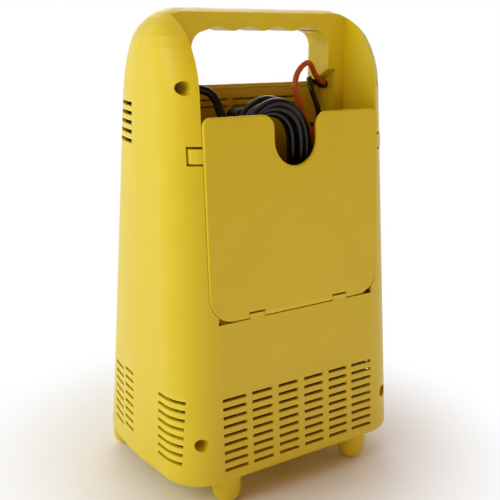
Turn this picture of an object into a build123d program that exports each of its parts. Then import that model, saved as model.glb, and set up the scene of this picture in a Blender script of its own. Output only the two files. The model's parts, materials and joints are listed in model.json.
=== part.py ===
from build123d import *
import math
import os

# Car battery charger: an upright case in two moulded halves with a carry handle, a cord
# compartment with a hinged door in its rear, and a control panel on its front.
# Millimetres. +Z is up, +Y is the rear (door side), -Y is the front (panel side), and X = 0 is
# the middle. The origin is on the surface that the charger stands on.

# ---- driving dimensions -------------------------------------------------------------------
HEIGHT = 350.0
CREST_Z = 350.4  # where the top's roundings would end; the top is cut flat at HEIGHT
BASE_Z = 15.0  # underside of the case at its middle; the feet make up the rest
BASE_SLOPE = 0.05  # the underside rises a little towards the rear
BASE_EDGE = 7.0  # rounding between the sides and the underside
REF_Z = 18.0  # height at which the case is widest and deepest
HALF_WIDTH = 101.8  # at REF_Z
HALF_DEPTH = 84.0  # at REF_Z, front and rear
SIDE_LEAN = 0.0267  # each side leans in by this much per mm of height
REAR_LEAN = 0.0654
FRONT_LEAN = 0.104
REAR_CORNER = 30.0  # plan radius of the rear corners
FRONT_CORNER = 50.0
SIDE_TURN = math.radians(13.9)  # how far the side has turned in where the front corner starts
TOP_SIDE_R = 31.0  # the top's rounding seen from the front
TOP_REAR_R = 54.0  # and seen from the side
TOP_FRONT_R = 60.0
WALL = 2.6
FAR = 200.0  # further out than any part of the case
SEAM_Y = 17.0  # the flat joint between the two halves

# the hollow between the pillars, the pocket in front of it and the hand hole above
RECESS_HALF = 77.0
RECESS_Y = 26.5  # rear face of the handle and of the steps beside the pocket
FLOOR_Z = 138.0
RECESS_CORNER = 20.4
POCKET_HALF = 68.0
POCKET_Y = 7.0
POCKET_TOP = (296.0, 307.0)  # the pocket's ceiling rises from its far wall to the steps
HOLE_HALF = 61.0
HOLE_LOW_Z = 296.0
HOLE_TOP_Z = 336.0
HOLE_CORNER = 12.0
GROOVE_PITCH = 26.0  # finger grooves under the handle
GROOVE_DEPTH = 1.55
HANDLE_FRONT_Y = 2.0
SCOOP_HALF = 68.0  # the hollow in front of the handle, at HANDLE_FRONT_Y
SCOOP_FLARE = 0.75  # each side of it spreads towards the front by this much per mm
SCOOP_SLOPE = 0.15  # its floor falls towards the front by this much per mm
LEDGE_Z = 293.0  # top of the pocket's far wall, where the front half begins
LEDGE_GROOVE = (0.5, 1.2)  # height and depth of the groove along that joint

# door
DOOR_HALF = 76.6
DOOR_LOW_Z = 138.4
DOOR_HIGH_Z = 279.6
DOOR_T = 2.8
DOOR_TOP_CORNER = 6.0
DOOR_LOW_CORNER = 20.0
HINGE_IN = 1.9  # the hinge axis is this far in from the outer face and up from the lower edge
EAR_X = 38.0
EAR_W = 13.0
EAR_HIGH = 1.1  # top of an ear above the hinge axis
HINGE_PIN_R = 0.9
NOTCH_HALF = 18.8
NOTCH_LOW_Z = 242.7
NOTCH_LIP_R = 9.7
TAB_LOW_Z = 249.6
TAB_HIGH_Z = 259.2
TAB_X = (73.0, 84.4)
TAB_PROUD = 1.0
LATCH_X = 86.0  # outer end of the slot that a tab snaps into
LATCH_Z = (248.0, 260.8)
LATCH_Y = 55.0

# air slots
SLOT_PITCH = 6.52
SLOT_H = 2.5
TOP_ROW_Z = 82.8
REAR_ROWS = 9
SIDE_ROWS = 8
REAR_COLUMNS = ((2.8, 21.0), (26.5, 44.6), (49.4, 69.6))
SIDE_SLOTS = ((42.0, 69.0, 0.0), (-14.0, 2.0, 0.0), (-38.0, -19.0, 3.2))  # ends and drop
UPPER_SLOT = (-32.0, -1.0)
UPPER_SLOT_H = 3.0
UPPER_ROW_Z = 284.0
UPPER_ROWS = 5
POCKET_SLOTS = ((18.0, 46.0), (-14.0, 14.0), (-46.0, -18.0))
POCKET_SLOT_ROWS = (285.0, 280.0)
POCKET_SLOT_H = 1.6

# screws that hold the halves together
SCREWS = ((84.8, 298.3), (85.5, 52.5))
SCREW_RECESS_R = 4.7
SCREW_HEAD_Y = 38.0  # upper screws
LOW_SCREW_HEAD_Y = 62.0
SCREW_TIP_Y = -14.0
BOSS_R = 6.4
SCREW_R = 1.9

# feet
FOOT_R = 11.5
FOOT_TAPER = 1.2
FOOT_TOP_Z = 27.0
FOOT_EDGE = 8.0
REAR_FOOT = (60.5, 70.8)
FRONT_FOOT = (80.0, -51.0)

# control panel
PANEL_Z = 182.0
PANEL_HALF = 50.0
PANEL_HALF_H = 76.0
PANEL_SINK = 0.8
PANEL_T = 2.4
PANEL_CORNER = 8.0
PANEL_FLANGE = 5.0
BUTTON_TRAVEL = 1.5
BUTTON_GAP = 0.3
BUTTONS = {
    "power_button": (0.0, -56.0, 30.0, 13.0),
    "mode_button": (-32.0, -14.0, 20.0, 12.0),
    "rate_button": (0.0, -14.0, 20.0, 12.0),
    "start_button": (32.0, -14.0, 20.0, 12.0),
}
WINDOW = (0.0, 40.0, 64.0, 34.0)
LENSES_X = (-32.0, 0.0, 32.0)
LENS_Y = 6.0
LENS_R = 2.5
BOARD_IN = 11.5  # the panel board's outer face behind the case's front
SWITCH_H = 3.6

# base plate and what it carries
POST_R = 5.0
POSTS = ((70.0, -45.5), (60.0, 40.0))
PLATE_X = 80.0
PLATE_Y = (-52.0, 50.0)
PLATE_Z = (26.0, 28.0)
CORE = (-38.0, -19.0)  # middle of the transformer
CORE_SIZE = (76.0, 40.0, 62.0)
BOARD_X = (12.0, 78.0)
BOARD_Y = (-44.0, 46.0)
BOARD_Z = (34.0, 35.6)
FAN_CENTRE = (-35.0, 57.0)  # X and Z
FAN_Y = (50.0, 73.0)
FAN_HALF = 30.0
FAN_HOLES = ((-25, -25), (25, -25), (-25, 25), (25, 25))

# cords
MAINS_D = 6.5
LEAD_D = 4.3
COIL = (7.5, 46.0, 233.0)
COIL_SIZE = (65.0, 114.0, 18.0)
COIL_LIMB = 17.5
RED_HANK = (-47.0, 51.0, 229.0)
RED_HANK_SIZE = (38.0, 94.0, 16.0)
BLACK_HANK = (-47.0, 24.0, 224.0)
BLACK_HANK_SIZE = (38.0, 84.0, 17.0)
HANK_LIMB = 11.0
MAINS_ROUTE = ((76.0, 15.2, 290.5), (42.0, 19.0, 301.0), (37.0, 33.0, 267.5), (32.0, 38.0, 238.0))
RELIEF = (-0.02, 0.11, 0.29, 0.55)  # ends and wall groove of the strain relief along the first run
MAINS_TAIL = (
    (17.0, 30.0, 247.0),
    (15.5, 31.0, 226.0),
    (-3.0, 36.0, 206.0),
    (-14.0, 40.0, 192.0),
)
RED_ROUTE = (
    (-72.0, 15.4, 293.6),
    (-58.0, 16.6, 296.8),
    (-45.0, 23.0, 315.5),
    (-23.0, 30.0, 299.0),
    (-31.0, 38.0, 271.0),
    (-35.0, 47.0, 250.0),
)
BLACK_ROUTE = (
    (-72.0, 10.6, 293.9),
    (-57.0, 11.4, 295.2),
    (-50.0, 16.5, 300.5),
    (-46.0, 25.5, 291.0),
    (-52.0, 30.0, 273.0),
    (-50.0, 26.5, 261.0),
)
LEAD_GROMMET_R = 3.2
LEAD_HOLE_R = 2.6
GROMMET_Z = 294.2
TAIL_X = -63.0
TAIL_TOP_Z = 190.0
PLUG_X = (3.0, 31.0)
PLUG_Y = (24.0, 36.4)
PLUG_Z = (247.0, 281.0)

# battery clamps, lying on the floor of the cord compartment
CLAMP_X = 2.0  # pivot
CLAMP_Z = FLOOR_Z + 16.5
CLAMP_T = 16.0
BLACK_CLAMP_Y = 20.0
RED_CLAMP_Y = 50.0

# ---- shape of the case --------------------------------------------------------------------


def rounding(z, radius):
    """How far a quarter round that ends at the top has turned in at height z."""
    above = max(0.0, z - (CREST_Z - radius))
    return radius - math.sqrt(max(0.0, radius**2 - above**2))


def half_width(z):
    """Half the width of the case at height z."""
    return HALF_WIDTH - SIDE_LEAN * (z - REF_Z) - rounding(z, TOP_SIDE_R)


def rear_y(z):
    """Where the rear surface is at height z, at the middle of the case."""
    return HALF_DEPTH - REAR_LEAN * (z - REF_Z) - rounding(z, TOP_REAR_R)


def front_y(z):
    """Where the front surface is at height z, at the middle of the case."""
    return -HALF_DEPTH + FRONT_LEAN * (z - REF_Z) + rounding(z, TOP_FRONT_R)


def outline(z, inset):
    """The case's plan outline at height z, moved in by inset, as named corner points."""
    w = half_width(z) - inset
    rear = rear_y(z) - inset
    front = front_y(z) + inset
    depth = rear - front
    rear_r = min(REAR_CORNER - inset, 0.3 * depth, 0.9 * w)
    front_r = min(FRONT_CORNER - inset, 0.5 * depth)
    front_part = front_r * (1 - math.sin(SIDE_TURN))
    rest = depth - rear_r - front_part
    straight_end = rear - rear_r - rest / 3
    arc_r = (rest * 2 / 3) / math.sin(SIDE_TURN)
    arc_end = Vector(w - arc_r * (1 - math.cos(SIDE_TURN)), front + front_part)
    arc_mid = Vector(
        w - arc_r * (1 - math.cos(SIDE_TURN / 2)),
        straight_end - arc_r * math.sin(SIDE_TURN / 2),
    )
    corner = Vector(arc_end.X - front_r * math.cos(SIDE_TURN), front + front_r)
    mid_turn = (SIDE_TURN + math.pi / 2) / 2
    half = math.sqrt(0.5)
    return {
        "rear_flat": Vector(w - rear_r, rear),
        "rear_mid": Vector(w - rear_r * (1 - half), rear - rear_r * (1 - half)),
        "side_start": Vector(w, rear - rear_r),
        "straight_end": Vector(w, straight_end),
        "arc_mid": arc_mid,
        "arc_end": arc_end,
        "front_mid": corner + Vector(front_r * math.cos(mid_turn), -front_r * math.sin(mid_turn)),
        "front_flat": Vector(corner.X, front),
    }


def section(z, inset, slope=0.0):
    """The closed outline at height z, on a plane that rises towards the rear by slope."""
    p = outline(z, inset)

    def at(name, side):
        v = p[name]
        return Vector(side * v.X, v.Y, z + slope * v.Y)

    edges = []
    for side in (1, -1):
        q = {name: at(name, side) for name in p}
        edges += [
            Edge.make_three_point_arc(q["rear_flat"], q["rear_mid"], q["side_start"]),
            Edge.make_line(q["side_start"], q["straight_end"]),
            Edge.make_three_point_arc(q["straight_end"], q["arc_mid"], q["arc_end"]),
            Edge.make_three_point_arc(q["arc_end"], q["front_mid"], q["front_flat"]),
        ]
    edges.append(Edge.make_line(at("front_flat", 1), at("front_flat", -1)))
    edges.append(Edge.make_line(at("rear_flat", -1), at("rear_flat", 1)))
    return Wire(edges)


def case_solid(inset):
    """The solid shape of the case, moved in by inset all over."""
    wires = []
    for turn in (0, 25, 50, 70, 90):
        t = math.radians(turn)
        z = BASE_Z + inset + BASE_EDGE * (1 - math.cos(t))
        wires.append(section(z, inset + BASE_EDGE * (1 - math.sin(t)), BASE_SLOPE))
    wires.append(section(CREST_Z - TOP_FRONT_R, inset))
    for turn in (0, 10, 20, 30, 40, 50, 60, 69, 77, 83):
        rise = (TOP_REAR_R - inset) * math.sin(math.radians(turn))
        wires.append(section(CREST_Z - TOP_REAR_R + rise, inset))
    return Solid.make_loft(wires, ruled=True)


# ---- small helpers ------------------------------------------------------------------------


def box(x, y, z):
    """A box from three (low, high) pairs."""
    centre = ((x[0] + x[1]) / 2, (y[0] + y[1]) / 2, (z[0] + z[1]) / 2)
    return Pos(*centre) * Box(x[1] - x[0], y[1] - y[0], z[1] - z[0])


def rod(start, end, radius):
    """A cylinder from start to end."""
    a, b = Vector(*start), Vector(*end)
    plane = Plane(origin=(a + b) / 2, z_dir=(b - a).normalized())
    return plane * Cylinder(radius, (b - a).length)


def cone(start, end, r0, r1):
    """A cone from start to end."""
    a, b = Vector(*start), Vector(*end)
    plane = Plane(origin=(a + b) / 2, z_dir=(b - a).normalized())
    return plane * Cone(r0, r1, (b - a).length)


def both_sides(shape):
    """A shape and its mirror image across the middle of the case."""
    return shape + mirror(shape, about=Plane.YZ)


def rounded(width, height, radius):
    return RectangleRounded(width, height, radius)


PANEL = Plane(
    origin=(0, front_y(PANEL_Z), PANEL_Z),
    x_dir=(1, 0, 0),
    z_dir=(0, -math.cos(math.atan(FRONT_LEAN)), math.sin(math.atan(FRONT_LEAN))),
)
HINGE_Z = DOOR_LOW_Z + HINGE_IN
HINGE_Y = rear_y(HINGE_Z) - HINGE_IN / math.cos(math.atan(REAR_LEAN))
DOOR = Plane(
    origin=(0, HINGE_Y, HINGE_Z),
    x_dir=(-1, 0, 0),
    z_dir=(0, math.cos(math.atan(REAR_LEAN)), math.sin(math.atan(REAR_LEAN))),
)


def on_panel(x, y, low, high, sketch):
    """A sketch extruded between two heights over the case's front plane."""
    return PANEL * Pos(x, y, low) * extrude(sketch, high - low)


# ---- the two halves of the case -----------------------------------------------------------


def recess_void(grow):
    """The hollow between the pillars, open to the rear and the top, grown by grow."""
    half = RECESS_HALF + grow
    low = FLOOR_Z - grow
    tall = 400.0 - low
    face = Pos(0, low + tall / 2) * Rectangle(2 * half, tall)
    face = fillet(face.vertices().group_by(Axis.Y)[0], RECESS_CORNER + grow)
    return Plane((0, RECESS_Y - grow, 0), x_dir=(1, 0, 0), z_dir=(0, -1, 0)) * extrude(face, -FAR)


def pocket_void(grow):
    """The deeper pocket in front of the recess, grown by grow."""
    far, low = POCKET_Y - grow, FLOOR_Z - grow
    z0, z1 = POCKET_TOP[0] + grow, POCKET_TOP[1] + grow
    face = Polygon((far, low), (RECESS_Y + 1, low), (RECESS_Y + 1, z1), (far, z0), align=None)
    half = POCKET_HALF + grow
    return Plane((-half, 0, 0), x_dir=(0, 1, 0), z_dir=(1, 0, 0)) * extrude(face, 2 * half)


def hole_void(grow, depth):
    """The hand hole, with finger grooves along its top."""
    half, low = HOLE_HALF + grow, HOLE_LOW_Z - grow
    corner = HOLE_CORNER + grow
    wave = []
    steps = 4
    count = 4 * steps
    for i in range(count + 1):
        x = -2 * GROOVE_PITCH + i * GROOVE_PITCH / steps
        z = HOLE_TOP_Z - GROOVE_DEPTH * math.cos(2 * math.pi * x / GROOVE_PITCH) + grow
        wave.append((x, z))
    edge_z = wave[0][1]
    lines = [
        Spline(*wave, tangents=((1, 0), (1, 0))),
        Line(wave[-1], (half - corner, edge_z)),
        ThreePointArc(
            (half - corner, edge_z),
            (half - corner * (1 - math.sqrt(0.5)), edge_z - corner * (1 - math.sqrt(0.5))),
            (half, edge_z - corner),
        ),
        Line((half, edge_z - corner), (half, low)),
        Line((half, low), (-half, low)),
        Line((-half, low), (-half, edge_z - corner)),
        ThreePointArc(
            (-half, edge_z - corner),
            (-half + corner * (1 - math.sqrt(0.5)), edge_z - corner * (1 - math.sqrt(0.5))),
            (-half + corner, edge_z),
        ),
        Line((-half + corner, edge_z), wave[0]),
    ]
    face = make_face(Curve() + lines)
    plane = Plane((0, depth[0], 0), x_dir=(1, 0, 0), z_dir=(0, -1, 0))
    return plane * extrude(face, depth[0] - depth[1])


def scoop_void(grow):
    """The hollow in front of the handle, open to the front and the top."""
    near = HANDLE_FRONT_Y + grow
    low = HOLE_LOW_Z - grow
    far_low = low - SCOOP_SLOPE * (FAR + near)
    face = Polygon((near, low), (-FAR, far_low), (-FAR, 400), (near, 400), align=None)
    face = Plane((-2 * FAR, 0, 0), x_dir=(0, 1, 0), z_dir=(1, 0, 0)) * face
    side = extrude(face, 4 * FAR, dir=(1, 0, 0))
    half = SCOOP_HALF - SCOOP_FLARE * grow + grow * math.sqrt(1 + SCOOP_FLARE**2)
    far_half = half + SCOOP_FLARE * (FAR + near)
    plan = Polygon((-half, near), (half, near), (far_half, -FAR), (-far_half, -FAR), align=None)
    return side & extrude(plan, 400, dir=(0, 0, 1))


def latch_void(grow):
    """The two slots beside the door that its tabs snap into."""
    x = (RECESS_HALF - 3, LATCH_X + grow)
    z = (LATCH_Z[0] - grow, LATCH_Z[1] + grow)
    return both_sides(box(x, (LATCH_Y - grow, FAR), z))


def voids(grow):
    """Everything that is cut out of the case between the pillars, grown by grow."""
    hole = hole_void(grow, (HANDLE_FRONT_Y - 1, RECESS_Y + 1))
    return [recess_void(grow), pocket_void(grow), hole, scoop_void(grow), latch_void(grow)]


def feet():
    """The four moulded feet."""
    shape = None
    for x, y in (REAR_FOOT, FRONT_FOOT):
        foot = Pos(x, y, FOOT_TOP_Z / 2) * Cone(FOOT_R - FOOT_TAPER, FOOT_R, FOOT_TOP_Z)
        foot = fillet(foot.edges().group_by(Axis.Z)[0], FOOT_EDGE)
        shape = foot if shape is None else shape + foot
    return both_sides(shape)


def air_slots():
    """Cutters for all the air slots."""
    cutters = []
    for row in range(REAR_ROWS):
        z = TOP_ROW_Z - row * SLOT_PITCH
        rows = (z - SLOT_H / 2, z + SLOT_H / 2)
        y = rear_y(z)
        for x0, x1 in REAR_COLUMNS:
            for side in (1, -1):
                x = sorted((side * x0, side * x1))
                cutters.append(box(x, (y - WALL - 2, y + 5), rows))
    for row in range(SIDE_ROWS):
        z = TOP_ROW_Z - row * SLOT_PITCH
        rows = (z - SLOT_H / 2, z + SLOT_H / 2)
        for start, end, drop in SIDE_SLOTS:
            low_rows = (rows[0] - drop, rows[1] - drop)
            for side in (1, -1):
                cutters.append(box(sorted((side * 82, side * 110)), (start, end), low_rows))
    for row in range(UPPER_ROWS):
        z = UPPER_ROW_Z - row * SLOT_PITCH
        rows = (z - UPPER_SLOT_H / 2, z + UPPER_SLOT_H / 2)
        for side in (1, -1):
            cutters.append(box(sorted((side * 78, side * 110)), UPPER_SLOT, rows))
    for z in POCKET_SLOT_ROWS:
        rows = (z - POCKET_SLOT_H / 2, z + POCKET_SLOT_H / 2)
        for x in POCKET_SLOTS:
            cutters.append(box(x, (POCKET_Y - WALL - 2, POCKET_Y + 2), rows))
    return cutters


def screw_head_y(z):
    return SCREW_HEAD_Y if z > HEIGHT / 2 else LOW_SCREW_HEAD_Y


def screw_bosses(outer):
    """The tubes that the case screws run in, before they are bored."""
    bosses = []
    for x, z in SCREWS:
        boss = rod((x, SCREW_TIP_Y - 3, z), (x, rear_y(z), z), BOSS_R) & outer
        rib = box((x, x + 14), (SCREW_TIP_Y - 3, SEAM_Y + 4), (z - 1, z + 1)) & outer
        bosses += [both_sides(boss), both_sides(rib)]
    return bosses


def screw_bores():
    bores = []
    for x, z in SCREWS:
        head = screw_head_y(z)
        bores.append(both_sides(rod((x, head, z), (x, FAR, z), SCREW_RECESS_R)))
        bores.append(both_sides(rod((x, SCREW_TIP_Y - 0.5, z), (x, head + 1, z), SCREW_R)))
    return bores


def hinge_ears():
    """The two ears that carry the door's hinge pins."""
    low = FLOOR_Z - HINGE_Z - 0.5
    spot = Pos(-EAR_X, (low + EAR_HIGH) / 2, (HINGE_IN - 2.2) / 2)
    ear = DOOR * spot * Box(EAR_W, EAR_HIGH - low, HINGE_IN + 2.2)
    return both_sides(ear)


def hinge_clearance():
    """Bores of the ears, and room in the recess corners for the door's lower corners."""
    ends = (EAR_X - EAR_W, EAR_X + EAR_W)
    bore = rod((ends[0], HINGE_Y, HINGE_Z), (ends[1], HINGE_Y, HINGE_Z), HINGE_PIN_R + 0.05)
    x = (RECESS_HALF - RECESS_CORNER - 2, RECESS_HALF - 6.6)
    room = rod((x[0], HINGE_Y, HINGE_Z), (x[1], HINGE_Y, HINGE_Z), 3.2)
    return [both_sides(bore), both_sides(room)]


def base_posts():
    """Posts under the base plate, with pilot holes for its screws."""
    posts = []
    pilots = []
    for x, y in POSTS:
        posts.append(both_sides(Pos(x, y, (PLATE_Z[0] + 14) / 2) * Cylinder(POST_R, PLATE_Z[0] - 14)))
        pilots.append(both_sides(Pos(x, y, 22) * Cylinder(1.5, 8.1)))
    return posts, pilots


def panel_posts():
    """Bosses on the front wall that the panel's flange is screwed to."""
    posts = []
    pilots = []
    for x in (-36, 36):
        for y in (-82, 82):
            posts.append(PANEL * Pos(x, y, -4.6) * Cylinder(3.6, 5.2))
            pilots.append(PANEL * Pos(x, y, -5.0) * Cylinder(1.3, 4.5))
    return posts, pilots


def grommet_outline(radius):
    """A slot shape around the two battery leads, on the wall that they come through."""
    y0, y1 = BLACK_ROUTE[0][1], RED_ROUTE[0][1]
    plane = Plane((-POCKET_HALF, (y0 + y1) / 2, GROMMET_Z), x_dir=(0, 1, 0), z_dir=(1, 0, 0))
    return plane, SlotOverall(y1 - y0 + 2 * radius, 2 * radius)


def relief_line(share):
    """A point on the first run of the mains cord."""
    a, b = Vector(*MAINS_ROUTE[0]), Vector(*MAINS_ROUTE[1])
    return a + (b - a) * share


def cord_holes():
    """Holes in the pocket's side walls for the cords."""
    plane, slot = grommet_outline(LEAD_HOLE_R)
    leads = plane * Pos(0, 0, -5) * extrude(slot, 8)
    mains = rod(relief_line(0.0), relief_line(0.4), 4.4)
    return [leads, mains]


def case_halves():
    """(front housing, rear housing)."""
    outer = case_solid(0)
    hollow = case_solid(WALL)
    for cutter in voids(WALL):
        hollow = hollow - cutter
    shell = (outer - hollow) - air_slots()
    post_sets = (base_posts(), panel_posts())
    adds = screw_bosses(outer)
    cuts = screw_bores()
    for posts, pilots in post_sets:
        adds += posts
        cuts += pilots
    adds.append(feet() - box((-FAR, FAR), (-FAR, FAR), (24, 60)))
    shell = shell + adds
    opening = on_panel(0, 0, -20, 8, rounded(2 * PANEL_HALF + 0.4, 2 * PANEL_HALF_H + 0.4, PANEL_CORNER))
    for cutter in voids(0):
        shell = shell - cutter
    for group in (cuts, cord_holes(), [opening]):
        shell = shell - group
    tongue = both_sides(box((POCKET_HALF - 3, 76), (POCKET_Y - WALL, SEAM_Y + 1), (280, 306)))
    wall = box(
        (-POCKET_HALF - WALL, POCKET_HALF + WALL),
        (POCKET_Y - WALL, SEAM_Y + 1),
        (FLOOR_Z - WALL, LEDGE_Z),
    )
    rear_zone = box((-FAR, FAR), (SEAM_Y, FAR), (-10, 400)) + tongue + wall
    groove = box(
        (-POCKET_HALF, POCKET_HALF),
        (POCKET_Y - LEDGE_GROOVE[1], POCKET_Y + 1),
        (LEDGE_Z - LEDGE_GROOVE[0], LEDGE_Z + 1),
    )
    rear = (shell & rear_zone) + hinge_ears()
    rear = rear - [*hinge_clearance(), groove]
    front = shell - rear_zone
    return largest(front), largest(rear)


def largest(shape):
    """The main solid of a shape."""
    solids = sorted(shape.solids(), key=lambda solid: solid.volume)
    if len(solids) > 1:
        print("loose bits", [(round(solid.volume, 1), solid.bounding_box()) for solid in solids[:-1]])
    return solids[-1]


def case_screws():
    screws = []
    for x, z in SCREWS:
        head = screw_head_y(z)
        shank = rod((x, SCREW_TIP_Y, z), (x, head, z), SCREW_R)
        screw = shank + rod((x, head, z), (x, head + 2.6, z), 4.0)
        cross = box((x - 2.2, x + 2.2), (head + 1.2, head + 4), (z - 0.45, z + 0.45))
        cross += box((x - 0.45, x + 0.45), (head + 1.2, head + 4), (z - 2.2, z + 2.2))
        screws += [screw - cross, mirror(screw - cross, about=Plane.YZ)]
    return Compound(screws)


# ---- door ---------------------------------------------------------------------------------


def door_outline():
    """The door's outline with the notch in its top edge."""
    low, high = -HINGE_IN, (DOOR_HIGH_Z - DOOR_LOW_Z) - HINGE_IN
    face = Pos(0, (low + high) / 2) * Rectangle(2 * DOOR_HALF, high - low)
    face = fillet(face.vertices().group_by(Axis.Y)[0], DOOR_LOW_CORNER)
    face = fillet(face.vertices().group_by(Axis.Y)[-1], DOOR_TOP_CORNER)
    mid = NOTCH_LOW_Z + NOTCH_HALF - HINGE_Z
    notch = Pos(0, mid) * Circle(NOTCH_HALF)
    notch += Pos(0, mid + 30) * Rectangle(2 * NOTCH_HALF, 60)
    face = face - notch
    lips = [v for v in face.vertices() if abs(abs(v.X) - NOTCH_HALF) < 0.1 and v.Y > mid + 2]
    return fillet(lips, NOTCH_LIP_R)


def storage_door():
    plate = extrude(door_outline(), DOOR_T)
    plate = Pos(0, 0, HINGE_IN - DOOR_T) * plate
    outer = plate.faces().sort_by(Axis.Z)[-1]
    plate = fillet(outer.edges(), 1.1)
    barrels = []
    cuts = []
    for side in (-1, 1):
        for end in (-1, 1):
            x = side * EAR_X + end * (EAR_W / 2 + 0.4 + 3.0)
            barrels.append(Pos(x, 0, 0) * Rot(0, 90, 0) * Cylinder(HINGE_IN, 6.0))
        room = Box(EAR_W + 0.8, 2.6 + 5, 12)
        cuts.append(Pos(side * EAR_X, (2.6 - 5) / 2, 0) * room)
        cuts.append(Pos(side * EAR_X, 0, 0) * Rot(0, 90, 0) * Cylinder(HINGE_PIN_R, EAR_W + 11))
    door = DOOR * ((plate + barrels) - cuts)
    return door + door_tabs()


def door_tabs():
    """Snap tabs that wrap round the case's rear corners."""
    skin = case_solid(-TAB_PROUD) - case_solid(2.4)
    tab = skin & box(TAB_X, (LATCH_Y, FAR), (TAB_LOW_Z, TAB_HIGH_Z))
    return both_sides(tab)


def hinge_pins():
    pins = []
    for side in (-1, 1):
        x = side * EAR_X
        half = EAR_W / 2 + 5.3
        pins.append(rod((x - half, HINGE_Y, HINGE_Z), (x + half, HINGE_Y, HINGE_Z), HINGE_PIN_R))
    return Compound(pins)


# ---- control panel ------------------------------------------------------------------------


def control_panel():
    w, h = 2 * PANEL_HALF, 2 * PANEL_HALF_H
    low = -PANEL_SINK - PANEL_T
    plate = on_panel(0, 0, low, -PANEL_SINK, rounded(w, h, PANEL_CORNER))
    skirt = rounded(w, h, PANEL_CORNER) - rounded(w - 3.2, h - 3.2, PANEL_CORNER - 1.6)
    flange = rounded(w + 8, h + 22, PANEL_CORNER) - rounded(w - 3.2, h - 3.2, PANEL_CORNER - 1.6)
    tray = plate + on_panel(0, 0, -9.2, low, skirt) + on_panel(0, 0, -9.2, -7.2, flange)
    cuts = []
    for x, y, bw, bh in BUTTONS.values():
        cuts.append(on_panel(x, y, -8, 2, rounded(bw + 2 * BUTTON_GAP, bh + 2 * BUTTON_GAP, 3.3)))
    x, y, ww, wh = WINDOW
    cuts.append(on_panel(x, y, -2.0, 2, rounded(ww, wh, 3)))
    cuts.append(on_panel(x, y, -8, 2, rounded(ww - 6, wh - 6, 2)))
    for x in LENSES_X:
        cuts.append(on_panel(x, LENS_Y, -8, 2, Circle(LENS_R)))
    for x in (-36, 36):
        for y in (-82, 82):
            cuts.append(on_panel(x, y, -10, -6, Circle(1.6)))
    tray = tray - cuts
    posts = []
    for x in (-40, 40):
        for y in (-68, 68):
            posts.append(on_panel(x, y, -BOARD_IN, low, Circle(2.6)))
    return tray + posts


def button(name):
    x, y, w, h = BUTTONS[name]
    cap = on_panel(x, y, -3.4, 1.4, rounded(w, h, 3))
    cap = fillet(cap.faces().sort_by(Axis.Y)[0].edges(), 0.8)
    flange = on_panel(x, y, -5.0, -3.4, rounded(w + 3, h + 3, 3))
    return cap + [flange, on_panel(x, y, -6.6, -5.0, Circle(2.5))]


def panel_board():
    return on_panel(0, 0, -BOARD_IN - 1.6, -BOARD_IN, rounded(88, 144, 3))


def button_switches():
    switches = []
    for x, y, w, h in BUTTONS.values():
        body = on_panel(x, y, -BOARD_IN, -BOARD_IN + 2.2, rounded(6.2, 6.2, 0.6))
        body += on_panel(x, y, -BOARD_IN + 2.2, -8.3, Circle(1.7))
        switches.append(body)
    return Compound(switches)


def indicator_lenses():
    lenses = []
    for x in LENSES_X:
        lens = on_panel(x, LENS_Y, -3.2, -0.2, Circle(LENS_R))
        lenses.append(lens + on_panel(x, LENS_Y, -4.4, -3.2, Circle(LENS_R + 1)))
    return Compound(lenses)


def indicator_leds():
    leds = []
    for x in LENSES_X:
        leds.append(on_panel(x, LENS_Y, -BOARD_IN, -5.4, Circle(2.4)))
    return Compound(leds)


def display_window():
    x, y, w, h = WINDOW
    return on_panel(x, y, -2.0, -PANEL_SINK, rounded(w - 0.3, h - 0.3, 2.9))


def display_module():
    x, y, w, h = WINDOW
    return on_panel(x, y, -BOARD_IN, -4.0, rounded(w - 8, h - 8, 1))


def panel_screws():
    screws = []
    for x in (-36, 36):
        for y in (-82, 82):
            shank = on_panel(x, y, -9.2, -3.4, Circle(1.3))
            screws.append(shank + on_panel(x, y, -11.2, -9.2, Circle(2.8)))
    return Compound(screws)


# ---- inside -------------------------------------------------------------------------------


def base_plate():
    plate = box((-PLATE_X, PLATE_X), PLATE_Y, PLATE_Z)
    plate = fillet(plate.edges().filter_by(Axis.Z), 14)
    x0, z0 = FAN_CENTRE
    tabs = []
    for side in (-25, 25):
        x = (x0 + side - 5, x0 + side + 5)
        tabs.append(box(x, (FAN_Y[0] - 2, FAN_Y[0]), (PLATE_Z[0] + 1, z0 + 31)))
    plate = plate + tabs
    holes = [both_sides(Pos(x, y, 27) * Cylinder(1.7, 8)) for x, y in POSTS]
    for x, y in board_corners():
        holes.append(Pos(x, y, 27) * Cylinder(1.5, 8))
    for x in lug_x():
        holes.append(Pos(x, CORE[1], 27) * Cylinder(1.7, 8))
    for dx, dz in FAN_HOLES:
        holes.append(rod((x0 + dx, 40, z0 + dz), (x0 + dx, 60, z0 + dz), 1.7))
    return plate - holes


def base_screws():
    screws = []
    for x, y in POSTS:
        screw = rod((x, y, 18.2), (x, y, 28), 1.5) + rod((x, y, 28), (x, y, 30.2), 3.2)
        screws += [screw, mirror(screw, about=Plane.YZ)]
    return Compound(screws)


def lug_x():
    return (CORE[0] - CORE_SIZE[0] / 2 - 4, CORE[0] + CORE_SIZE[0] / 2 + 4)


def transformer_core():
    w, d, h = CORE_SIZE
    z0 = PLATE_Z[1]
    core = box((-w / 2, w / 2), (-d / 2, d / 2), (0, h))
    for side in (-1, 1):
        core -= box(sorted((side * 13, side * 27)), (-d, d), (12, h - 12))
        core += box(sorted((side * w / 2, side * (w / 2 + 8))), (-10, 10), (0, 3))
    core = Pos(CORE[0], CORE[1], z0) * core
    return core - [Pos(x, CORE[1], z0) * Cylinder(1.7, 8) for x in lug_x()]


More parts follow.
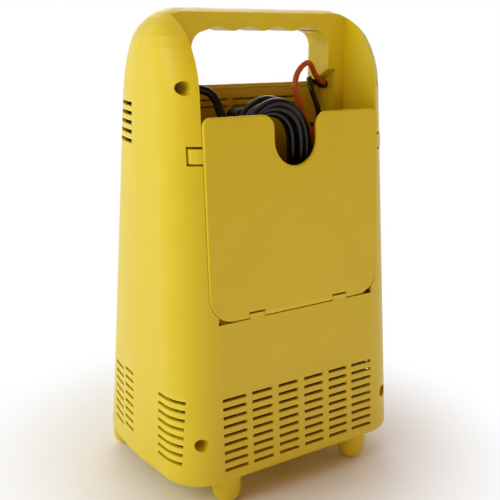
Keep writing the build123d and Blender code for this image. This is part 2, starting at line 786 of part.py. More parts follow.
def transformer_winding():
    w, d, h = CORE_SIZE
    winding = box((-26.6, 26.6), (-29, 29), (12.4, h - 12.4))
    winding = fillet(winding.edges().filter_by(Axis.Z), 6)
    winding -= box((-13, 13), (-d / 2, d / 2), (0, h))
    return Pos(CORE[0], CORE[1], PLATE_Z[1]) * winding


def transformer_screws():
    screws = []
    for x in lug_x():
        screws.append(
            rod((x, CORE[1], 23.2), (x, CORE[1], 31), 1.7)
            + rod((x, CORE[1], 31), (x, CORE[1], 33.2), 3.2)
        )
    return Compound(screws)


def board_corners():
    return [(x, y) for x in (BOARD_X[0] + 5, BOARD_X[1] - 5) for y in (BOARD_Y[0] + 5, BOARD_Y[1] - 12)]


def board_standoffs():
    """Pillars between the base plate and the board, each with a stub through the plate."""
    pillars = []
    for x, y in board_corners():
        pillar = rod((x, y, 28), (x, y, 34), 3) + rod((x, y, 24.5), (x, y, 28), 1.5)
        pillars.append(pillar - rod((x, y, 29), (x, y, 35), 1.2))
    return Compound(pillars)


def board_screws():
    screws = []
    for x, y in board_corners():
        screws.append(rod((x, y, 29.5), (x, y, 35.6), 1.2) + rod((x, y, 35.6), (x, y, 37.4), 2.6))
    return Compound(screws)


def main_board():
    board = box(BOARD_X, BOARD_Y, BOARD_Z)
    return board - [Pos(x, y, 35) * Cylinder(1.4, 6) for x, y in board_corners()]


def heat_sink():
    top = BOARD_Z[1]
    sink = [box((36, 74), (-8, 26), (top, top + 5))]
    for i in range(8):
        x = 36 + i * 5.1
        sink.append(box((x, x + 2.3), (-8, 26), (top + 4, top + 32)))
    return sink[0] + sink[1:]


def rectifiers():
    top = BOARD_Z[1]
    blocks = []
    for x in (40, 54, 68):
        body = box((x - 5, x + 5), (-14.5, -10), (top + 5, top + 20))
        tab = box((x - 5, x + 5), (-10, -8), (top + 5, top + 27))
        legs = box((x - 4, x - 3), (-13, -12), (top, top + 5))
        legs += box((x + 3, x + 4), (-13, -12), (top, top + 5))
        blocks.append(body + tab + legs)
    return Compound(blocks)


def capacitors():
    top = BOARD_Z[1]
    cans = []
    for y in (-34, -15, 4):
        can = Pos(27, y, top + 15) * Cylinder(8, 30)
        cans.append(fillet(can.edges().group_by(Axis.Z)[-1], 1.2))
    return Compound(cans)


def relay():
    top = BOARD_Z[1]
    body = box((40, 62), (-42, -26), (top, top + 16))
    return fillet(body.edges().group_by(Axis.Z)[-1], 1)


def fuse_holder():
    top = BOARD_Z[1]
    base = box((21, 33), (14, 40), (top, top + 4))
    for y in (17, 34):
        clip = box((22.5, 31.5), (y, y + 3), (top + 3, top + 10.5))
        base += clip - rod((27, y - 1, top + 9), (27, y + 4, top + 9), 3)
    return base


def fuse():
    z = BOARD_Z[1] + 9
    return rod((27, 15, z), (27, 39, z), 3)


def fan_frame():
    x, z = FAN_CENTRE
    h = FAN_HALF
    frame = box((x - h, x + h), FAN_Y, (z - h, z + h))
    frame = fillet(frame.edges().filter_by(Axis.Y), 4)
    frame -= rod((x, FAN_Y[0] - 1, z), (x, FAN_Y[1] + 1, z), 28)
    hub = rod((x, FAN_Y[0], z), (x, FAN_Y[0] + 3.5, z), 12)
    struts = []
    for i in range(3):
        struts.append(Pos(x, FAN_Y[0] + 1.5, z) * Rot(0, 120 * i + 30, 0) * Pos(20, 0, 0) * Box(18, 3, 3))
    frame = frame + [hub, *struts]
    cuts = [rod((x, FAN_Y[0] - 1, z), (x, FAN_Y[0] + 5, z), 2.05)]
    for dx, dz in FAN_HOLES:
        cuts.append(rod((x + dx, FAN_Y[0] - 1, z + dz), (x + dx, FAN_Y[1] + 1, z + dz), 1.7))
    return frame - cuts


def fan_rotor():
    x, z = FAN_CENTRE
    y0 = FAN_Y[0] + 4
    parts = [rod((x, y0 - 3.5, z), (x, y0 + 1, z), 2)]
    for i in range(7):
        blade = Pos(19, 0, 0) * Rot(38, 0, 0) * Box(16, 15, 1.5)
        parts.append(Pos(x, y0 + 8.5, z) * Rot(0, 360 / 7 * i, 0) * blade)
    rotor = rod((x, y0, z), (x, y0 + 17, z), 12) + parts
    return rotor & rod((x, FAN_Y[0] - 1, z), (x, FAN_Y[1], z), 27)


def fan_screws():
    screws = []
    y = FAN_Y[0] - 2
    for dx, dz in FAN_HOLES:
        x, z = FAN_CENTRE[0] + dx, FAN_CENTRE[1] + dz
        screws.append(rod((x, y, z), (x, y + 12, z), 1.7) + rod((x, y - 2, z), (x, y, z), 3.2))
    return Compound(screws)


# ---- cords --------------------------------------------------------------------------------


def cord_tube(name, points, diameter):
    """A round tube along a route with rounded corners."""
    radii = []
    runs = [(Vector(*b) - Vector(*a)) for a, b in zip(points, points[1:])]
    for first, second in zip(runs, runs[1:]):
        turn = math.radians(first.get_angle(second))
        radii.append(0.45 * min(first.length, second.length) / math.tan(turn / 2))
    if len(radii) == 0:
        path = Line(*points)
    else:
        path = FilletPolyline(*points, radius=radii)
    start = Plane(origin=path @ 0, z_dir=path % 0)
    tube = sweep(start * Circle(diameter / 2), path=path)
    share = tube.volume / (math.pi * diameter**2 / 4 * path.length)
    shown = [round(radius / diameter, 1) for radius in radii]
    print(name, "length", round(path.length, 1), "radii in diameters", shown, round(share, 3))
    return tube


def ring(centre, size, limb):
    """The outer shape of a coiled cord: an upright oval ring."""
    w, h, depth = size
    face = RectangleRounded(w, h, w / 2 - 0.01)
    face -= RectangleRounded(w - 2 * limb, h - 2 * limb, w / 2 - limb - 0.01)
    x, y, z = centre
    body = Plane((x, y + depth / 2, z), x_dir=(1, 0, 0), z_dir=(0, -1, 0)) * extrude(face, depth)
    return body


def trimmed(tube, body):
    """A cord's tube, cut off where it enters its coil or hank."""
    return largest(tube - body)


def lead_tail(name, y):
    """The lead from the bottom of its hank to the clamp."""
    z = CLAMP_Z - 11.0
    route = ((TAIL_X, y, TAIL_TOP_Z), (TAIL_X, y, z), (CLAMP_X - 46, y, z))
    return cord_tube(name, route, LEAD_D)


def mains_strain_relief():
    inner, wall0, wall1, tip = [relief_line(share) for share in RELIEF]
    body = cone(wall1, tip, 5.2, 4.0) + rod(wall0, wall1, 4.4) + rod(inner, wall0, 4.9)
    return body - rod(relief_line(-0.1), relief_line(0.9), MAINS_D / 2)


def lead_grommet():
    plane, wide = grommet_outline(LEAD_GROMMET_R)
    plane, narrow = grommet_outline(LEAD_HOLE_R)
    body = plane * extrude(wide, 2)
    body += plane * Pos(0, 0, -2.6) * extrude(narrow, 2.6)
    body += plane * Pos(0, 0, -4) * extrude(wide, 1.4)
    for route in (RED_ROUTE, BLACK_ROUTE):
        a, b = Vector(*route[0]), Vector(*route[1])
        body -= rod(a, a + (b - a) * 0.6, LEAD_D / 2)
    return body


def mains_plug():
    body = box(PLUG_X, PLUG_Y, PLUG_Z)
    body = fillet(body.edges().filter_by(Axis.Y), 7)
    body = fillet(body.faces().sort_by(Axis.Y)[-1].edges(), 2.5)
    x, y, z = MAINS_TAIL[0]
    body += cone((x, y, z + 2), (x, y + 0.7, z - 9), 5.0, 4.0)
    return body - rod(MAINS_TAIL[0], MAINS_TAIL[1], MAINS_D / 2)


def plug_pins():
    x = (PLUG_X[0] + PLUG_X[1]) / 2
    z = PLUG_Z[1] - 12
    pins = []
    for side in (-1, 1):
        mid = x + side * 6.35
        pins.append(box((mid - 0.75, mid + 0.75), (9, 24), (z - 3.2, z + 3.2)))
    pins.append(rod((x, 8.5, z - 11.9), (x, 24, z - 11.9), 2.4))
    return Compound(pins)


# ---- battery clamps -----------------------------------------------------------------------


def clamp_plane(y):
    """Clamp drawing plane: x towards the handles, y up, z across the clamp."""
    return Plane((CLAMP_X, y, CLAMP_Z), x_dir=(-1, 0, 0), z_dir=(0, 1, 0))


ARM = (
    (-44, -1.4),
    (-44, -7),
    (-38, -11.5),
    (-16, -14.5),
    (10, -13.5),
    (26, -14.5),
    (46, -16.3),
    (46, -13.2),
    (24, -11),
    (8, -9),
    (-8, -9),
    (-16, -5),
)


def clamp_arm(y, upper):
    """A moulded arm with two cheeks round the pivot."""
    flip = -1 if upper else 1
    face = Polygon(*[(u, flip * v) for u, v in ARM], align=None)
    arm = Pos(0, 0, -CLAMP_T / 2) * extrude(face, CLAMP_T, dir=(0, 0, 1))
    inner, outer = (3.8, 5.8) if upper else (6.1, 8.0)
    cheek = Circle(5.2) + Pos(0, -5.5 * flip) * Rectangle(10.4, 11)
    cheeks = []
    for side in (-1, 1):
        low = min(side * inner, side * outer)
        cheeks.append(Pos(0, 0, low) * extrude(cheek, outer - inner))
    arm = arm + cheeks
    bore = Cylinder(2.05 if upper else 2.0, 30)
    groove = Pos(-30, -2.9 * flip, 0) * Box(29, 3.0, 10)
    arm = arm - [bore, groove]
    if not upper:
        collar = Pos(43, -11.0, 0) * Rot(0, 90, 0) * Cylinder(3.6, 6)
        arm = arm + collar
    return clamp_plane(y) * arm


def clamp_jaw(y, upper):
    """The toothed metal bar let into an arm."""
    flip = -1 if upper else 1
    top = 0.25
    points = [(-44.4, -4.4), (-44.4, -top - 1.0)]
    for i in range(10):
        points.append((-44 + 3 * i, -top))
        points.append((-42.5 + 3 * i, -top - 1.2))
    points += [(-15.5, -4.4)]
    face = Polygon(*[(u, flip * v) for u, v in points], align=None)
    jaw = Pos(0, 0, -5) * extrude(face, 10, dir=(0, 0, 1))
    return clamp_plane(y) * jaw


def clamp_pin(y):
    pin = Pos(0, 0, 0) * Cylinder(2.0, 17)
    pin += Pos(0, 0, 8.8) * Cylinder(3.2, 1.4)
    return clamp_plane(y) * pin


def clamp_spring(y):
    """A coil round the pin with its two legs against the arms."""
    helix = Helix(pitch=1.5, height=6.0, radius=3.2)
    wire = Plane(origin=helix @ 0, z_dir=helix % 0) * Circle(0.6)
    coil = Pos(0, 0, -3) * sweep(wire, path=helix)
    leg = rod((3.2, 0, -3), (20, -9.6, -3), 0.6)
    return clamp_plane(y) * (coil + leg)


# ---- everything ---------------------------------------------------------------------------


def clamp_parts(colour, y):
    return {
        colour + "_clamp_lower": clamp_arm(y, False),
        colour + "_clamp_upper": clamp_arm(y, True),
        colour + "_clamp_lower_jaw": clamp_jaw(y, False),
        colour + "_clamp_upper_jaw": clamp_jaw(y, True),
        colour + "_clamp_pin": clamp_pin(y),
        colour + "_clamp_spring": clamp_spring(y),
    }


def main():
    os.makedirs("parts", exist_ok=True)
    front, rear = case_halves()
    mains_coil = ring(COIL, COIL_SIZE, COIL_LIMB)
    red_hank = ring(RED_HANK, RED_HANK_SIZE, HANK_LIMB)
    black_hank = ring(BLACK_HANK, BLACK_HANK_SIZE, HANK_LIMB)
    parts = {
        "front_housing": front,
        "rear_housing": rear,
        "housing_screws": case_screws(),
        "storage_door": storage_door(),
        "door_hinge_pins": hinge_pins(),
        "control_panel": control_panel(),
        "panel_screws": panel_screws(),
        "panel_circuit_board": panel_board(),
        "button_switches": button_switches(),
        "indicator_lenses": indicator_lenses(),
        "indicator_leds": indicator_leds(),
        "display_window": display_window(),
        "display_module": display_module(),
        "base_plate": base_plate(),
        "base_screws": base_screws(),
        "transformer_core": transformer_core(),
        "transformer_winding": transformer_winding(),
        "transformer_screws": transformer_screws(),
        "main_circuit_board": main_board(),
        "board_standoffs": board_standoffs(),
        "board_screws": board_screws(),
        "heat_sink": heat_sink(),
        "rectifiers": rectifiers(),
        "capacitors": capacitors(),
        "relay": relay(),
        "fuse_holder": fuse_holder(),
        "fuse": fuse(),
        "fan_frame": fan_frame(),
        "fan_rotor": fan_rotor(),
        "fan_screws": fan_screws(),
        "mains_strain_relief": mains_strain_relief(),
        "mains_cord": trimmed(cord_tube("mains_cord", MAINS_ROUTE, MAINS_D), mains_coil),
        "mains_coil": mains_coil,
        "mains_cord_tail": trimmed(cord_tube("mains_cord_tail", MAINS_TAIL, MAINS_D), mains_coil),
        "mains_plug_body": mains_plug(),
        "mains_plug_pins": plug_pins(),
        "lead_grommet": lead_grommet(),
        "red_lead": trimmed(cord_tube("red_lead", RED_ROUTE, LEAD_D), red_hank),
        "red_hank": red_hank,
        "red_lead_tail": trimmed(lead_tail("red_lead_tail", RED_CLAMP_Y), red_hank),
        "black_lead": trimmed(cord_tube("black_lead", BLACK_ROUTE, LEAD_D), black_hank),
        "black_hank": black_hank,
        "black_lead_tail": trimmed(lead_tail("black_lead_tail", BLACK_CLAMP_Y), black_hank),
    }
    for name in BUTTONS:
        parts[name] = button(name)
    parts.update(clamp_parts("black", BLACK_CLAMP_Y))
    parts.update(clamp_parts("red", RED_CLAMP_Y))
    for name, shape in parts.items():
        export_step(shape, "parts/" + name + ".step")


main()
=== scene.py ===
import json
import math

import bpy
from mathutils import Matrix, Vector


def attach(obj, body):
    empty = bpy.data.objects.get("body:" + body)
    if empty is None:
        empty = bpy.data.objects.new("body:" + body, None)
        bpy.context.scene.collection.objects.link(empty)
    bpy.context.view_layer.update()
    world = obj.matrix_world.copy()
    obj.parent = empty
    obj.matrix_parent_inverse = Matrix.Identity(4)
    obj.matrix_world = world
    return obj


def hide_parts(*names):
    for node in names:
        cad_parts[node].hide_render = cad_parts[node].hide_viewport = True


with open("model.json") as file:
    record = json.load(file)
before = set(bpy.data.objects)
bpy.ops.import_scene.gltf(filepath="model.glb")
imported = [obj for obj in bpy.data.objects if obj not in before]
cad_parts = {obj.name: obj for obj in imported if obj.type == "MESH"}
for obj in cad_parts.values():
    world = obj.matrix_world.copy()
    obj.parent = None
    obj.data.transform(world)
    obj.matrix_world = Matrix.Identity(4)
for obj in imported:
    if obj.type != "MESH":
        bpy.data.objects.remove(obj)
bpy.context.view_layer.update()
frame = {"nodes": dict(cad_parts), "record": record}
nodes = frame["nodes"]

# ---- camera -------------------------------------------------------------------------------

AZIMUTH = math.radians(145.094)
ELEVATION = math.radians(14.782)
ROLL = math.radians(-0.542)
DISTANCE = 0.68154
AIM = Vector((0.0, 0.0, 0.175))
AIM_OFFSET = (0.00657, -0.00946)  # right and up in the picture
LENS = 61.92


def add_camera():
    """The photograph's camera."""
    back = Vector(
        (
            math.sin(AZIMUTH) * math.cos(ELEVATION),
            -math.cos(AZIMUTH) * math.cos(ELEVATION),
            math.sin(ELEVATION),
        )
    )
    level = Vector((math.cos(AZIMUTH), math.sin(AZIMUTH), 0.0))
    upright = back.cross(level)
    right = level * math.cos(ROLL) - upright * math.sin(ROLL)
    up = level * math.sin(ROLL) + upright * math.cos(ROLL)
    data = bpy.data.cameras.new("camera")
    data.lens = LENS
    data.sensor_width = 36.0
    camera = bpy.data.objects.new("camera", data)
    bpy.context.scene.collection.objects.link(camera)
    place = AIM + right * AIM_OFFSET[0] + up * AIM_OFFSET[1] + back * DISTANCE
    turn = Matrix((right, up, back)).transposed().to_4x4()
    camera.matrix_world = Matrix.Translation(place) @ turn
    bpy.context.scene.camera = camera


# ---- materials ----------------------------------------------------------------------------

SHARP_ANGLE = math.radians(24)  # a CAD edge that turns by more than this stays sharp
MOTTLE_BAND = (0.3, 0.7)  # the part of the noise over which the colour changes
EDGE_BAND = (0.53, 0.64)  # the pointiness from which an edge starts to wear, and is fully worn
CLOUD_SCALE = 45.0  # of the colour's variation, in clouds per metre
SMEAR_SCALE = 90.0  # of the gloss's variation
UNEVEN_GLOSS = 0.08
BUMP_STRENGTH = 0.35


def surface(name, colour, rough, **look):
    """A procedural material: mottled colour, worn edges, fine grain and uneven gloss.

    look may hold metal, specular, grain (bumps per metre), relief (bump height in metres), mottle
    (how much the colour varies) and wear (how far worn edges turn pale).
    """
    material = bpy.data.materials.new(name)
    material.use_nodes = True
    tree = material.node_tree
    links = tree.links
    shader = tree.nodes["Principled BSDF"]
    shader.inputs["Metallic"].default_value = look.get("metal", 0.0)
    shader.inputs["Specular IOR Level"].default_value = look.get("specular", 0.5)
    place = tree.nodes.new("ShaderNodeTexCoord")

    cloud = tree.nodes.new("ShaderNodeTexNoise")
    cloud.inputs["Scale"].default_value = CLOUD_SCALE
    cloud.inputs["Detail"].default_value = 5.0
    links.new(place.outputs["Object"], cloud.inputs["Vector"])
    mottle = look.get("mottle", 0.05)
    ramp = tree.nodes.new("ShaderNodeValToRGB")
    ramp.color_ramp.elements[0].position = MOTTLE_BAND[0]
    ramp.color_ramp.elements[1].position = MOTTLE_BAND[1]
    ramp.color_ramp.elements[0].color = [c * (1 - mottle) for c in colour] + [1.0]
    ramp.color_ramp.elements[1].color = [min(1.0, c * (1 + mottle)) for c in colour] + [1.0]
    links.new(cloud.outputs["Fac"], ramp.inputs["Fac"])

    shape = tree.nodes.new("ShaderNodeNewGeometry")
    edge = tree.nodes.new("ShaderNodeMapRange")
    edge.inputs["From Min"].default_value = EDGE_BAND[0]
    edge.inputs["From Max"].default_value = EDGE_BAND[1]
    edge.inputs["To Max"].default_value = look.get("wear", 0.35)
    links.new(shape.outputs["Pointiness"], edge.inputs["Value"])
    worn = tree.nodes.new("ShaderNodeMix")
    worn.data_type = "RGBA"
    worn.inputs["B"].default_value = [min(1.0, c * 1.35 + 0.02) for c in colour] + [1.0]
    links.new(edge.outputs["Result"], worn.inputs["Factor"])
    links.new(ramp.outputs["Color"], worn.inputs["A"])
    links.new(worn.outputs["Result"], shader.inputs["Base Color"])

    smear = tree.nodes.new("ShaderNodeTexNoise")
    smear.inputs["Scale"].default_value = SMEAR_SCALE
    smear.inputs["Detail"].default_value = 6.0
    links.new(place.outputs["Object"], smear.inputs["Vector"])
    gloss = tree.nodes.new("ShaderNodeMapRange")
    gloss.inputs["To Min"].default_value = max(0.03, rough - UNEVEN_GLOSS)
    gloss.inputs["To Max"].default_value = min(1.0, rough + UNEVEN_GLOSS)
    links.new(smear.outputs["Fac"], gloss.inputs["Value"])
    links.new(gloss.outputs["Result"], shader.inputs["Roughness"])

    grain = tree.nodes.new("ShaderNodeTexNoise")
    grain.inputs["Scale"].default_value = look.get("grain", 2200.0)
    grain.inputs["Detail"].default_value = 3.0
    links.new(place.outputs["Object"], grain.inputs["Vector"])
    bump = tree.nodes.new("ShaderNodeBump")
    bump.inputs["Strength"].default_value = BUMP_STRENGTH
    bump.inputs["Distance"].default_value = look.get("relief", 0.00006)
    links.new(grain.outputs["Fac"], bump.inputs["Height"])
    links.new(bump.outputs["Normal"], shader.inputs["Normal"])
    return material


def clear_surface(name, colour, rough):
    """A tinted clear plastic."""
    material = surface(name, colour, rough, mottle=0.03, relief=0.00001)
    shader = material.node_tree.nodes["Principled BSDF"]
    shader.inputs["Transmission Weight"].default_value = 0.6
    shader.inputs["IOR"].default_value = 1.49
    return material


def make_materials():
    yellow = (0.76, 0.59, 0.010)
    return {
        "housing": surface(
            "yellow plastic", yellow, 0.38, mottle=0.015, specular=0.38, relief=0.00005, wear=0.3
        ),
        "panel": surface("black textured plastic", (0.022, 0.022, 0.025), 0.5, relief=0.0001),
        "button": surface("grey key plastic", (0.23, 0.23, 0.24), 0.45),
        "start": surface("yellow key plastic", (0.72, 0.55, 0.04), 0.4),
        "window": clear_surface("smoked window", (0.05, 0.07, 0.07), 0.08),
        "lens": clear_surface("red lens", (0.55, 0.04, 0.03), 0.12),
        "component": surface("black component plastic", (0.03, 0.03, 0.033), 0.42),
        "relay": surface("blue relay plastic", (0.04, 0.10, 0.32), 0.3),
        "board": surface("green laminate", (0.012, 0.11, 0.035), 0.35, grain=700.0),
        "steel": surface("plated steel", (0.55, 0.55, 0.56), 0.32, metal=1.0, grain=900.0),
        "core": surface("varnished laminations", (0.16, 0.15, 0.15), 0.4, metal=0.8),
        "winding": surface("enamelled wire", (0.42, 0.17, 0.05), 0.35, metal=0.7, grain=500.0),
        "aluminium": surface("aluminium", (0.7, 0.71, 0.73), 0.3, metal=1.0, grain=1200.0),
        "cord": surface(
            "black cord sheath", (0.004, 0.0045, 0.004), 0.22, mottle=0.2, specular=0.35
        ),
        "red_cord": surface(
            "red cord sheath", (0.52, 0.085, 0.010), 0.28, mottle=0.10, specular=0.4
        ),
        "red_grip": surface("red grip plastic", (0.50, 0.02, 0.012), 0.32),
        "black_grip": surface("black grip plastic", (0.012, 0.012, 0.013), 0.36),
        "jaw": surface("copper plate", (0.62, 0.30, 0.17), 0.33, metal=1.0, grain=1100.0),
        "brass": surface("bright brass", (0.78, 0.55, 0.22), 0.25, metal=1.0, grain=1100.0),
    }


def paint(materials):
    """Gives every CAD node its slot's material, and smooth shading between its sharp edges."""
    slots = {part["node"]: part["material_slot"] for part in frame["record"]["subparts"]}
    for name, obj in nodes.items():
        material = materials[slots[name]]
        obj.data.materials.clear()
        obj.data.materials.append(material)
        obj.data.shade_smooth()
        obj.data.set_sharp_from_angle(angle=SHARP_ANGLE)


# ---- cords: points and sizes in millimetres -----------------------------------------------

MM = 0.001
MAINS_D = 6.5
LEAD_D = 4.3
MAINS_ROUTE = [(76.0, 15.2, 290.5), (42.0, 19.0, 301.0), (37.0, 33.0, 267.5), (32.0, 38.0, 238.0)]
MAINS_TAIL = [(-14.0, 40.0, 192.0), (-3.0, 36.0, 206.0), (15.5, 31.0, 226.0), (17.0, 30.0, 247.0)]
RED_ROUTE = [
    (-72.0, 15.4, 293.6),
    (-58.0, 16.6, 296.8),
    (-45.0, 23.0, 315.5),
    (-23.0, 30.0, 299.0),
    (-31.0, 38.0, 271.0),
    (-35.0, 47.0, 250.0),
]
BLACK_ROUTE = [
    (-72.0, 10.6, 293.9),
    (-57.0, 11.4, 295.2),
    (-50.0, 16.5, 300.5),
    (-46.0, 25.5, 291.0),
    (-52.0, 30.0, 273.0),
    (-50.0, 26.5, 261.0),
]
MAINS_CENTRE = (7.5, 46.0, 233.0)
MAINS_HALF_W, MAINS_HALF_H = 25.0, 49.5
MAINS_FIRST, MAINS_LAST = 0.02, 6.32  # where its coil starts and ends, in turns
MAINS_LOOSE = 1.2
MAINS_PLACES = [
    (5.0, -5.6),
    (-1.6, -5.4),
    (-4.9, 0.2),
    (1.8, 0.1),
    (5.2, 5.7),
    (-1.4, 5.7),
    (8.3, 0.0),
]
# A hank: centre, half width, half height, y of its clamp, and where it ends, in turns.
RED_HANK = ((-47.0, 51.0, 229.0), 13.5, 41.5, 50.0, 6.75)
BLACK_HANK = ((-47.0, 24.0, 224.0), 13.5, 36.5, 20.0, 7.7)
RED_ROWS = (-5.4, 0.0, 5.4)
BLACK_ROWS = (-6.2, -2.0, 2.1, 6.2)
LEAD_LAYER = 3.2  # a hank's turns lie in two layers, this far outside and inside its oval
LEAD_FIRST = 0.04
LEAD_LOOSE = 1.4
LEAD_DOWN = [(-56.0, 182.5), (-62.5, 168.0), (-63.0, 143.5), (-44.0, 143.5)]  # (x, z) to its clamp
PER_TURN = 18  # control points in one turn
STEP_FROM, STEP_SHARE = 0.72, 0.28  # a turn moves to the next place in its last part


def oval_point(share, half_w, half_h):
    """(x, z) on an upright oval, share of the way round, from its +X side, down first."""
    side = 2 * (half_h - half_w)
    arc = math.pi * half_w
    s = (share % 1.0) * 2 * (side + arc)
    if s < side / 2:
        return half_w, -s
    s -= side / 2
    if s < arc:
        turn = s / half_w
        return half_w * math.cos(turn), -side / 2 - half_w * math.sin(turn)
    s -= arc
    if s < side:
        return -half_w, s - side / 2
    s -= side
    if s < arc:
        turn = s / half_w
        return -half_w * math.cos(turn), side / 2 + half_w * math.sin(turn)
    return half_w, side / 2 - (s - arc)


def turns(centre, half_w, half_h, places, first, last, loose):
    """Points of a coil. places holds each turn's place in the bundle: outwards and across.

    first and last are where it starts and ends, in turns; loose is how far turns stray.
    """
    points = []
    count = int(round((last - first) * PER_TURN))
    for i in range(count + 1):
        t = first + (last - first) * i / count
        turn = int(t)
        here = places[min(turn, len(places) - 1)]
        after = places[min(turn + 1, len(places) - 1)]
        share = t - turn
        mix = max(0.0, min(1.0, (share - STEP_FROM) / STEP_SHARE))
        mix = mix * mix * (3 - 2 * mix)
        out = here[0] + (after[0] - here[0]) * mix
        across = here[1] + (after[1] - here[1]) * mix
        x, z = oval_point(share, half_w + out, half_h + out)
        x += loose * math.sin(1.9 * t + 0.6) * 0.6
        z += loose * math.sin(2.3 * t + 1.1)
        points.append((centre[0] + x, centre[1] + across, centre[2] + z))
    return points


def cord_curve(name, points, diameter, material):
    """A smooth round cord along control points in millimetres."""
    data = bpy.data.curves.new(name, "CURVE")
    data.dimensions = "3D"
    data.bevel_depth = diameter * MM / 2
    data.bevel_resolution = 5
    data.resolution_u = 6
    data.use_fill_caps = True
    spline = data.splines.new("NURBS")
    spline.points.add(len(points) - 1)
    for point, place in zip(spline.points, points):
        point.co = (place[0] * MM, place[1] * MM, place[2] * MM, 1.0)
    spline.order_u = 3
    spline.use_endpoint_u = True
    data.materials.append(material)
    obj = bpy.data.objects.new(name, data)
    bpy.context.scene.collection.objects.link(obj)
    return obj


def add_mains_cord(materials):
    """The mains cord: over the compartment's edge, round its coil and down to its plug."""
    coil = turns(
        MAINS_CENTRE, MAINS_HALF_W, MAINS_HALF_H, MAINS_PLACES, MAINS_FIRST, MAINS_LAST, MAINS_LOOSE
    )
    points = MAINS_ROUTE + coil + MAINS_TAIL
    cord = cord_curve("mains_power_cord", points, MAINS_D, materials["cord"])
    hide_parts("mains_cord", "mains_coil", "mains_cord_tail")
    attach(cord, "charger")


def add_lead(colour, route, hank, rows, material):
    """A battery lead: out of the wall, round its hank and down to its clamp."""
    centre, half_w, half_h, across, last = hank
    places = [(side * LEAD_LAYER, row) for row in rows for side in (1, -1)]
    coil = turns(centre, half_w, half_h, places, LEAD_FIRST, last, LEAD_LOOSE)
    end = [(x, across, z) for x, z in LEAD_DOWN]
    lead = cord_curve(colour + "_battery_lead", route + coil + end, LEAD_D, material)
    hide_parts(colour + "_lead", colour + "_hank", colour + "_lead_tail")
    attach(lead, "charger")


def add_leads(materials):
    add_lead("red", RED_ROUTE, RED_HANK, RED_ROWS, materials["red_cord"])
    add_lead("black", BLACK_ROUTE, BLACK_HANK, BLACK_ROWS, materials["cord"])


# ---- light and floor ----------------------------------------------------------------------

WHITE = (1.0, 1.0, 1.0, 1.0)
WARM_SIDE = (0.40, 0.15, 0.06, 1.0)  # the room's light from behind the charger
WARM_BAND = (-0.25, 0.35)  # from white in front to warm behind, along Y
OVERHEAD = 0.55  # the room's strength from above; it is 1 from the sides
OVERHEAD_BAND = (0.25, 0.60)  # along Z
GLOW_BAND = (0.08, 0.25)  # metres from the charger over which the floor fades to white
FLOOR_HALF = 6.0
FLOOR_DROP = 0.0005  # keeps the floor just clear of the feet
LIGHT_AIM = (0.0, 0.0, 0.17)


def area_light(name, place, aim, size, power, colour):
    data = bpy.data.lights.new(name, "AREA")
    data.shape = "DISK"
    data.size = size
    data.energy = power
    data.color = colour
    light = bpy.data.objects.new(name, data)
    bpy.context.scene.collection.objects.link(light)
    light.location = place
    light.rotation_euler = (Vector(aim) - Vector(place)).to_track_quat("-Z", "Y").to_euler()


def add_world():
    """A white room, dim and warm behind the charger, with a white backdrop all round."""
    world = bpy.data.worlds.new("studio")
    world.use_nodes = True
    tree = world.node_tree
    place = tree.nodes.new("ShaderNodeTexCoord")
    split = tree.nodes.new("ShaderNodeSeparateXYZ")
    tree.links.new(place.outputs["Generated"], split.inputs["Vector"])
    ramp = tree.nodes.new("ShaderNodeMapRange")
    ramp.inputs["From Min"].default_value = WARM_BAND[0]
    ramp.inputs["From Max"].default_value = WARM_BAND[1]
    tree.links.new(split.outputs["Y"], ramp.inputs["Value"])
    blend = tree.nodes.new("ShaderNodeMix")
    blend.data_type = "RGBA"
    blend.inputs["A"].default_value = WHITE
    blend.inputs["B"].default_value = WARM_SIDE
    tree.links.new(ramp.outputs["Result"], blend.inputs["Factor"])
    dim = tree.nodes.new("ShaderNodeMapRange")
    dim.inputs["From Min"].default_value = OVERHEAD_BAND[0]
    dim.inputs["From Max"].default_value = OVERHEAD_BAND[1]
    dim.inputs["To Min"].default_value = 1.0
    dim.inputs["To Max"].default_value = OVERHEAD
    tree.links.new(split.outputs["Z"], dim.inputs["Value"])
    room = tree.nodes["Background"]
    tree.links.new(blend.outputs["Result"], room.inputs["Color"])
    tree.links.new(dim.outputs["Result"], room.inputs["Strength"])
    backdrop = tree.nodes.new("ShaderNodeBackground")
    backdrop.inputs["Color"].default_value = WHITE
    path = tree.nodes.new("ShaderNodeLightPath")
    mix = tree.nodes.new("ShaderNodeMixShader")
    tree.links.new(path.outputs["Is Camera Ray"], mix.inputs["Fac"])
    tree.links.new(room.outputs["Background"], mix.inputs[1])
    tree.links.new(backdrop.outputs["Background"], mix.inputs[2])
    tree.links.new(mix.outputs["Shader"], tree.nodes["World Output"].inputs["Surface"])
    bpy.context.scene.world = world


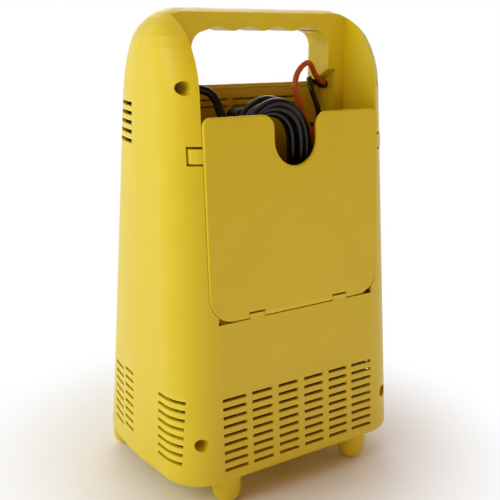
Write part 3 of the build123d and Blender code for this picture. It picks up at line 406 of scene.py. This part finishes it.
def fade_to_white(material):
    """Lets the floor fade into a white glow away from the charger."""
    tree = material.node_tree
    place = tree.nodes.new("ShaderNodeTexCoord")
    far = tree.nodes.new("ShaderNodeVectorMath")
    far.operation = "LENGTH"
    tree.links.new(place.outputs["Object"], far.inputs[0])
    ramp = tree.nodes.new("ShaderNodeMapRange")
    ramp.interpolation_type = "SMOOTHSTEP"
    ramp.inputs["From Min"].default_value = GLOW_BAND[0]
    ramp.inputs["From Max"].default_value = GLOW_BAND[1]
    tree.links.new(far.outputs["Value"], ramp.inputs["Value"])
    glow = tree.nodes.new("ShaderNodeEmission")
    mix = tree.nodes.new("ShaderNodeMixShader")
    tree.links.new(ramp.outputs["Result"], mix.inputs["Fac"])
    tree.links.new(tree.nodes["Principled BSDF"].outputs["BSDF"], mix.inputs[1])
    tree.links.new(glow.outputs["Emission"], mix.inputs[2])
    tree.links.new(mix.outputs["Shader"], tree.nodes["Material Output"].inputs["Surface"])


def add_studio():
    """A pale floor, a large soft key from the +X side, and a front light and weak fills."""
    mesh = bpy.data.meshes.new("floor")
    half = FLOOR_HALF
    corners = [(-half, -half, 0), (half, -half, 0), (half, half, 0), (-half, half, 0)]
    mesh.from_pydata(corners, [], [(0, 1, 2, 3)])
    floor = bpy.data.objects.new("floor", mesh)
    floor.location.z = -FLOOR_DROP
    bpy.context.scene.collection.objects.link(floor)
    pale = surface("pale floor", (0.94, 0.94, 0.94), 0.6, mottle=0.01, wear=0.0)
    fade_to_white(pale)
    mesh.materials.append(pale)
    add_world()
    bpy.context.scene.view_settings.view_transform = "Standard"
    area_light("key", (1.25, -0.10, 0.80), LIGHT_AIM, 0.9, 5.6, (0.95, 1.0, 0.88))
    area_light("fill", (0.90, 0.50, 1.10), LIGHT_AIM, 0.7, 1.4, (1.0, 0.97, 0.85))
    area_light("top", (0.1, 0.1, 1.5), LIGHT_AIM, 0.8, 0.8, (1.0, 1.0, 1.0))
    area_light("front", (-0.7, -1.2, 0.8), LIGHT_AIM, 0.9, 4.0, (1.0, 1.0, 1.0))


# ---- build --------------------------------------------------------------------------------

add_camera()
materials = make_materials()
add_mains_cord(materials)
add_leads(materials)
paint(materials)
add_studio()
